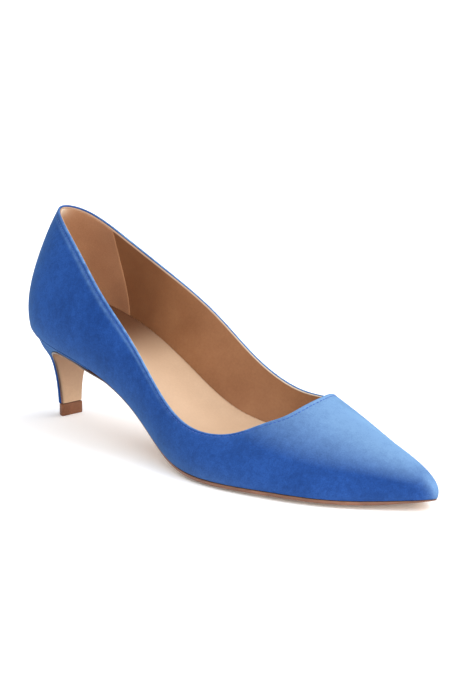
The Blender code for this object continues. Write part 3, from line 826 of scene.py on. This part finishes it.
# rings from the outer breast corner round the back to the inner one: depth and side blend from the seat's
# outline to a half ellipse by roundness, and the seat's own curve in height fades out with it
def heelRings(t):
    value = {key: column[:, None] for key, column in heelValues(t).items()}
    turn = np.linspace(0.0, 1.0, heelPlan["around"])
    roundDepth, roundSide = np.sin(np.pi * turn), -np.cos(np.pi * turn)
    depth = roundDepth**heelPlan["seatFullness"]
    seatX = heel["breastX"][0] + (heel["backX"][0] - heel["breastX"][0]) * depth
    outer, inner = soleEdges(seatX, np.full(len(turn), -heelPlan["seatInset"]))
    seatY = np.where(turn < 0.5, outer, inner)
    seatY[len(turn) // 2] = 0.5 * (outer + inner)[len(turn) // 2]
    seatSide = (seatY - shoe["heelMiddle"]) / heel["halfWidth"][0]
    seatLift = featherHeight(seatX) - shoe["gap"] - heel["breastZ"][0]
    seatLift -= (heel["backZ"][0] - heel["breastZ"][0]) * depth
    ringDepth = depth + (roundDepth - depth) * value["roundness"]
    x = value["breastX"] + (value["backX"] - value["breastX"]) * ringDepth
    y = shoe["heelMiddle"] + value["halfWidth"] * (seatSide + (roundSide - seatSide) * value["roundness"])
    z = value["breastZ"] + (value["backZ"] - value["breastZ"]) * ringDepth
    return np.stack((x, y, z + (1.0 - value["roundness"]) * seatLift), axis=-1)


# suede cover: the rings closed across the breast by a straight front
def buildHeel():
    make = heelPlan
    seat = np.linspace(0.0, 1.0, make["seatRings"], endpoint=False)
    rings = heelRings(np.concatenate((seat, np.linspace(1.0, heelTip, make["rings"]))))
    share = np.linspace(0.0, 1.0, make["front"])[None, 1:-1, None]
    front = rings[:, -1:] * (1.0 - share) + rings[:, :1] * share
    grid = np.concatenate((rings, front), axis=1)
    # painted sheen along the top of the heel cover
    lift = paintedSheenZones["foot"] * np.exp((grid[..., 2] - grid[:1, :, 2]) / paintedSheenZones["footReach"])
    piece = loopPiece("heelCover", grid, [suedeMaterial("heelSuede", False)], attributes=dict(paintedSheen=lift))
    edge = piece.modifiers.new("turnedEdge", "BEVEL")
    edge.width, edge.segments = make["edgeRound"] * mm, make["edgeSegments"]
    edge.angle_limit = np.radians(make["edgeAngle"])
    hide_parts("heel")


buildHeel()
print("heel ready")


# Outsole

outsole = dict(
    x=(20.0, 46.0, 58.0, 80.0, 92.0, 97.0, 99.0),       # percent of length
    thickness=(0.9, 1.0, 1.5, 1.5, 1.5, 1.2, 0.7),
    stepOut=(-0.6, -0.5, 0.3, 0.3, 0.2, 0.0, -0.3),
    belly=(0.0, 0.4, 1.4, 1.4, 0.6, 0.2, 0.0),          # how far the middle hangs below the edges
)
solePlan = dict(
    bellyFlatness=3.0, flapInset=0.15, bendX=76.0, flapStart=1.2, soleRows=170, bendRows=26, flapRows=90,
    toeEnd=0.02, toeCrowding=1.7, toeTaper=22.0, toeThin=0.65, topAcross=11, bottomAcross=41,
    edgeRound=0.5, roundOfThickness=0.45, roundOfWidth=0.4, cornerRows=6, topRound=0.35,
    sideShares=(0.35, 0.70),
)

# painted shade under the arch and the edge's dark grow between two heights, in metres over the floor
soleLook = dict(
    shades=((0.46, 0.285, 0.165), (0.52, 0.330, 0.195), (0.58, 0.375, 0.225)),
    archShade=(0.25, 0.115, 0.045), archShadeFrom=0.008, archShadeTo=0.034, archShadeShare=0.95,
    # painted shade underneath along the edges, and how far it reaches
    underShade=(0.045, 0.020, 0.012), underShadeReach=2.2, underShadeX=(80.0, 110.0), flapShadeReach=0.9, flapShare=0.85,
)
edgeLook = dict(
    shades=((0.105, 0.038, 0.018), (0.165, 0.064, 0.032), (0.235, 0.096, 0.050)),
    dark=(0.030, 0.013, 0.010), darkFrom=0.005, darkTo=0.015, darkShare=0.85,
)


# smooth sole leather with a cloudy tone and faint drag marks along the shoe, with painted shade darkening it
# higher up under the arch, and painted shade a little way in from the edges underneath
def soleMaterial():
    look = soleLook
    material, tree, place = blank("soleLeather")
    marks = noise(tree, drawnOut(tree, place, (0.12, 1.0, 1.0)), 700.0, 3.0, 0.6)
    colour = cloudy(tree, noise(tree, place, 30.0), marks, 0.35, look["shades"])
    # painted shade under the arch, darker higher up
    archShade = between(tree, heightOf(tree, place), look["archShadeFrom"], look["archShadeTo"], 0.0, look["archShadeShare"])
    colour = blendColour(tree, archShade, colour, look["archShade"])
    # painted shade underneath along the edges, where the sole curves away from the light
    underShade = times(tree, attribute(tree, "edgeShade"), between(tree, marks, 0.3, 0.7, 0.75, 1.0))
    colour = blendColour(tree, underShade, colour, look["underShade"])
    dress(tree, colour, bump(tree, marks, 0.00006, 0.25), between(tree, marks, 0.3, 0.7, 0.34, 0.52),
          Specular_IOR_Level=0.45, Coat_Weight=0.12, Coat_Roughness=0.35)
    return material


# inked and waxed sole edge: layered fibre lines under a soft polish, nearly black along the waist
def edgeMaterial():
    look = edgeLook
    material, tree, place = blank("soleEdge")
    layers = noise(tree, drawnOut(tree, place, (0.15, 0.15, 1.0)), 1500.0, 3.0, 0.6)
    colour = cloudy(tree, noise(tree, place, 90.0), layers, 0.5, look["shades"])
    dark = between(tree, heightOf(tree, place), look["darkFrom"], look["darkTo"], 0.0, look["darkShare"])
    dress(tree, blendColour(tree, dark, colour, look["dark"]), bump(tree, layers, 0.00007, 0.3), 0.42,
          Specular_IOR_Level=0.45, Coat_Weight=0.2, Coat_Roughness=0.3)
    return material


# path of the sole's upper face from the toe to the break, round a smooth bend, and down the heel's breast:
# x, z, outer and inner edge, thickness and belly for each row
def solePath(samples=900):
    make = solePlan
    soleX = np.array(outsole["x"]) * shoe["length"] / 100.0
    value, outward = wallFrame(np.linspace(0.0, 1.0, samples, endpoint=False))
    toe = np.max(value["footX"] + outsole["stepOut"][-1] * outward[:, 0]) - make["toeEnd"]
    x = toe + (make["bendX"] - toe) * np.linspace(0.0, 1.0, make["soleRows"])**make["toeCrowding"]
    outer, inner = soleEdges(x, np.interp(x, soleX, outsole["stepOut"]))
    fore = np.column_stack((x, featherHeight(x) - shoe["gap"], outer, inner))

    t = np.linspace(make["flapStart"], heelTip, make["flapRows"])
    value = heelValues(t)
    lean = np.column_stack((np.gradient(value["breastX"]), np.gradient(value["breastZ"])))
    lean /= np.linalg.norm(lean, axis=1)[:, None]
    corners = heelRings(t)
    flap = np.column_stack((
        value["breastX"] - lean[:, 1] * shoe["gap"], value["breastZ"] + lean[:, 0] * shoe["gap"],
        corners[:, 0, 1] + make["flapInset"], corners[:, -1, 1] - make["flapInset"]))
    flap[-1, 1] = value["breastZ"][-1]

    # the bend is a cubic that keeps both ends' places and directions
    reach = np.linalg.norm(flap[0, :2] - fore[-1, :2])
    leave = (fore[-1] - fore[-2]) / np.linalg.norm((fore[-1] - fore[-2])[:2]) * reach
    arrive = (flap[1] - flap[0]) / np.linalg.norm((flap[1] - flap[0])[:2]) * reach
    s = np.linspace(0.0, 1.0, make["bendRows"] + 2)[1:-1, None]
    bend = ((2 * s**3 - 3 * s**2 + 1) * fore[-1] + (s**3 - 2 * s**2 + s) * leave
            + (3 * s**2 - 2 * s**3) * flap[0] + (s**3 - s**2) * arrive)
    x, z, outer, inner = np.vstack((fore, bend, flap)).T
    taper = make["toeThin"] + (1.0 - make["toeThin"]) * stepped(toe - x, 0.0, make["toeTaper"])
    thickness = np.interp(x, soleX, outsole["thickness"]) * taper
    belly = np.interp(x, soleX, outsole["belly"]) * taper
    return x, z, outer, inner, thickness, belly


# painted shade runs under the forepart from both sides, and a little way over the flap from the outer one
def edgeShadeShare(x, y, middle, halfWidth):
    look = soleLook
    forepart = stepped(x, *look["underShadeX"])[:, None]
    reach = look["flapShadeReach"] + (look["underShadeReach"] - look["flapShadeReach"]) * forepart
    fromEdge = halfWidth - np.abs(y - middle)
    return bell(fromEdge, reach) * np.maximum(forepart, look["flapShare"] * (y < middle))


# loop for each row of the path: upper face, small top corner, side, rounded bottom corner, bellied bottom
def buildOutsole():
    make = solePlan
    x, z, outer, inner, thickness, belly = solePath()
    run = np.column_stack((np.gradient(x), np.gradient(z)))
    run /= np.linalg.norm(run, axis=1)[:, None]
    thick, halfWidth = thickness[:, None], 0.5 * (inner - outer)[:, None]
    corner = np.minimum(make["edgeRound"], make["roundOfThickness"] * thick)
    corner = np.minimum(corner, make["roundOfWidth"] * halfWidth)
    turn = np.linspace(0.0, np.pi / 2.0, make["cornerRows"])[None, :]
    small, sideShares = make["topRound"], np.array([make["sideShares"]])
    inset = corner * np.concatenate((small * (1.0 - np.sin(turn[:, ::2])), 0.0 * sideShares,
                                     1.0 - np.cos(turn)), axis=1)
    sunk = np.concatenate((small * corner * (1.0 - np.cos(turn[:, ::2])),
                           small * corner + (thick - (1.0 + small) * corner) * sideShares,
                           thick - corner + corner * np.sin(turn)), axis=1)
    low = eased(make["bottomAcross"])[None, 1:-1]
    high = np.linspace(1.0, 0.0, make["topAcross"])[None, 1:-1]
    outerSide, innerSide = outer[:, None] + inset, (inner[:, None] - inset)[:, ::-1]
    bottomY = outerSide[:, -1:] + (innerSide[:, :1] - outerSide[:, -1:]) * low
    topY = outerSide[:, :1] + (innerSide[:, -1:] - outerSide[:, :1]) * high
    y = np.concatenate((outerSide, bottomY, innerSide, topY), axis=1)
    depth = np.concatenate((sunk, thick + 0.0 * low, sunk[:, ::-1], 0.0 * thick + 0.0 * high), axis=1)
    middle = 0.5 * (outer + inner)[:, None]
    fromMiddle = np.minimum(np.abs(y - middle) / halfWidth, 1.0)
    hang = belly[:, None] * (1.0 - fromMiddle**make["bellyFlatness"])
    gridX = x[:, None] - run[:, 1:] * depth
    gridZ = z[:, None] + run[:, :1] * depth - hang * depth / thick
    gridZ = np.where(depth > 0.5 * thick, np.maximum(gridZ, 0.0), gridZ)
    side, under = inset.shape[1], low.shape[1]
    columnSlots = np.zeros(y.shape[1], int)
    columnSlots[1:side - 2] = 1
    columnSlots[side + under + 1:2 * side + under - 2] = 1
    piece = loopPiece("leatherSole", np.stack((gridX, y, gridZ), axis=-1), [soleMaterial(), edgeMaterial()],
                      columnSlots=columnSlots, capSlot=1,
                      attributes=dict(edgeShade=edgeShadeShare(x, y, middle, halfWidth)))
    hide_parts("outsole")


buildOutsole()
print("outsole ready")


# Top piece

# matte moulded rubber with a cloudy tone and fine speckle
def topPieceMaterial():
    material, tree, place = blank("topPieceRubber")
    speckle = noise(tree, place, 1600.0, 3.0, 0.6)
    colour = cloudy(tree, noise(tree, place, 150.0), speckle, 0.4, topPiece["shades"])
    dress(tree, colour, bump(tree, speckle, 0.00006, 0.3), 0.55, Specular_IOR_Level=0.35)
    return material


# rings from top to floor, drawn in at both rims: a half ellipse, a rounded corner, the straight breast, and
# the other corner
def buildTopPiece():
    make = topPiece
    soft, height = make["edgeRound"], make["height"]
    quarter = np.linspace(0.0, np.pi / 2.0, make["edgeRows"])
    inset = np.concatenate((1.0 - np.sin(quarter), np.zeros(make["sideRows"]), 1.0 - np.cos(quarter)))
    inset = soft * inset[:, None]
    z = np.concatenate((height - soft * (1.0 - np.cos(quarter)),
                        np.linspace(height - soft, soft, make["sideRows"] + 2)[1:-1],
                        soft * (1.0 - np.sin(quarter))))
    breast, back, half = make["breast"] - inset, make["back"] + inset, make["halfWidth"] - inset
    corner = np.arcsin(soft / (make["breast"] - make["back"]))
    turn = np.linspace(corner, np.pi - corner, make["around"])
    curveX, curveY = breast + (back - breast) * np.sin(turn), -half * np.cos(turn)
    bendX = curveX[:, -1:] + (breast - curveX[:, -1:]) * np.sin(quarter[1:])
    bendY = curveY[:, -1:] - soft * (1.0 - np.cos(quarter[1:]))
    frontY = bendY[:, -1:] * np.linspace(1.0, -1.0, make["front"] + 2)[1:-1]
    x = np.concatenate((curveX, bendX, breast + 0.0 * frontY, bendX[:, ::-1]), axis=1)
    y = shoe["heelMiddle"] + np.concatenate((curveY, bendY, frontY, -bendY[:, ::-1]), axis=1)
    piece = loopPiece("topPiece", np.stack((x, y, z[:, None] + 0.0 * x), axis=-1), [topPieceMaterial()])
    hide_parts("top_piece")


buildTopPiece()
print("top piece ready")


# Stage, light and camera

stage = dict(half=3.2, colour=(0.95, 0.95, 0.95), fleck=0.99, glow=0.09)
lights = dict(
    sky=dict(heelSide=0.42, toeSide=1.62),                           # white sky, stronger towards +X
    key=dict(place=(0.45, 0.80, 1.20), softness=60.0, power=1.6),    # wide, from the inner side above
    fill=dict(place=(1.00, -0.35, 0.60), softness=70.0, power=1.5),  # weaker one from before the toe
)
camera = dict(place=(0.8985, -0.8294, 0.3330), aim=(0.0101, 0.0, 0.0504), lens=147.9, sensor=36.0,
              clipEnd=20.0)


# plain pale paper, a flat square with a faint fleck and a weak glow of its own
def buildFloor():
    half, pale = stage["half"], stage["colour"]
    flecked = tuple(stage["fleck"] * part for part in pale)
    mesh = bpy.data.meshes.new("studioFloor")
    corners = [(-half, -half, 0.0), (half, -half, 0.0), (half, half, 0.0), (-half, half, 0.0)]
    mesh.from_pydata(corners, [], [(0, 1, 2, 3)])
    material, tree, place = blank("studioPaper")
    colour = ramp(tree, noise(tree, place, 60.0, 2.0), (0.3, 0.7), (flecked, pale))
    dress(tree, colour, None, 0.9, Specular_IOR_Level=0.1, Emission_Color=(1.0, 1.0, 1.0, 1.0),
          Emission_Strength=stage["glow"])
    mesh.materials.append(material)
    floor = bpy.data.objects.new("studioFloor", mesh)
    bpy.context.scene.collection.objects.link(floor)


def aimAt(thing, place, target):
    thing.location = place
    thing.rotation_euler = (Vector(target) - Vector(place)).to_track_quat("-Z", "Y").to_euler()


# a sky that brightens from the heel's side to the toe's, and two wide soft suns
def buildLights():
    world = bpy.data.worlds.new("studioSky")
    world.use_nodes = True
    tree = world.node_tree
    direction = put(tree, "ShaderNodeTexCoord").outputs["Generated"]
    forward = put(tree, "ShaderNodeSeparateXYZ", {0: direction}).outputs["X"]
    strength = between(tree, forward, -1.0, 1.0, lights["sky"]["heelSide"], lights["sky"]["toeSide"])
    sky = tree.nodes["Background"]
    sky.inputs["Color"].default_value = (1.0, 1.0, 1.0, 1.0)
    tree.links.new(strength, sky.inputs["Strength"])
    bpy.context.scene.world = world
    for name in ("key", "fill"):
        lamp = bpy.data.lights.new(name + "Light", "SUN")
        lamp.energy, lamp.angle = lights[name]["power"], np.radians(lights[name]["softness"])
        holder = bpy.data.objects.new(name + "Light", lamp)
        bpy.context.scene.collection.objects.link(holder)
        aimAt(holder, lights[name]["place"], (0.0, 0.0, 0.0))


def buildCamera():
    eye = bpy.data.cameras.new("camera")
    eye.sensor_width, eye.lens, eye.clip_end = camera["sensor"], camera["lens"], camera["clipEnd"]
    holder = bpy.data.objects.new("camera", eye)
    bpy.context.scene.collection.objects.link(holder)
    aimAt(holder, camera["place"], camera["aim"])
    bpy.context.scene.camera = holder


buildFloor()
buildLights()
buildCamera()
bpy.context.scene.view_settings.view_transform = "Standard"
print("stage, light and camera ready")
